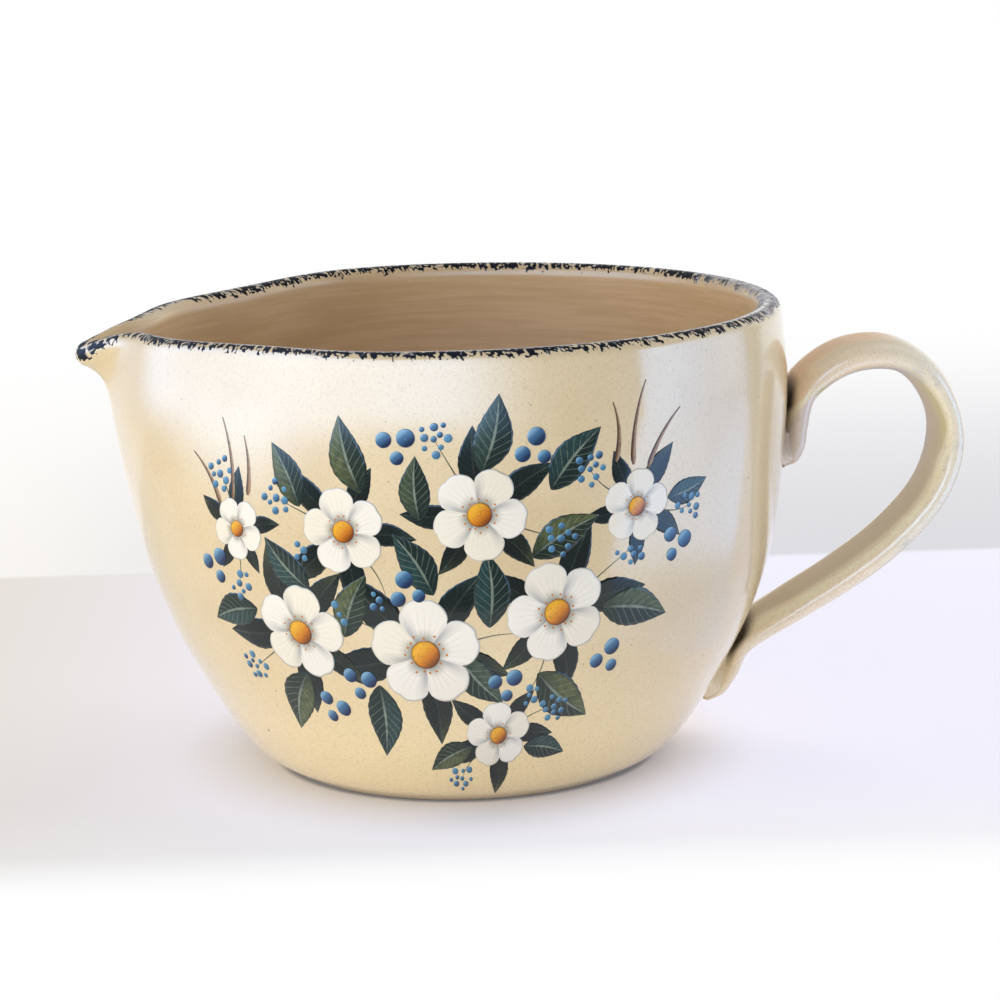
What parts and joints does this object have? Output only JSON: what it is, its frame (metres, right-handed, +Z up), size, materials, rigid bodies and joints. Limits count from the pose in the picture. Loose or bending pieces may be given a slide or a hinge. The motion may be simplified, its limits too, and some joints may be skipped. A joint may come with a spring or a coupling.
{
  "type": "batter bowl",
  "caption": "Round glazed stoneware batter bowl with a pulled pouring spout, an ear-shaped strap handle opposite it, a sponged rim and a flower decal.",
  "frame": {"origin": "centre of the flat foot, on the plane that the bowl stands on", "axes": "+Z up; +X toward the handle, -X toward the spout; -Y toward the decal"},
  "size_m": [0.237, 0.1761, 0.1222],
  "materials": {
    "glaze": "gloss",
    "slip": "gloss",
    "rim_colour": "gloss",
    "print_brown": "gloss",
    "print_green": "gloss",
    "print_blue": "gloss",
    "print_white": "gloss",
    "print_amber": "gloss"
  },
  "bodies": {
    "root": {"bowl_body": "glaze", "handle": "glaze", "upper_slip_joint": "slip", "lower_slip_joint": "slip", "rim_band": "rim_colour", "decal_stems": "print_brown", "decal_leaves": "print_green", "decal_berries": "print_blue", "decal_blossoms": "print_white", "decal_centres": "print_amber"}
  },
  "joints": []
}
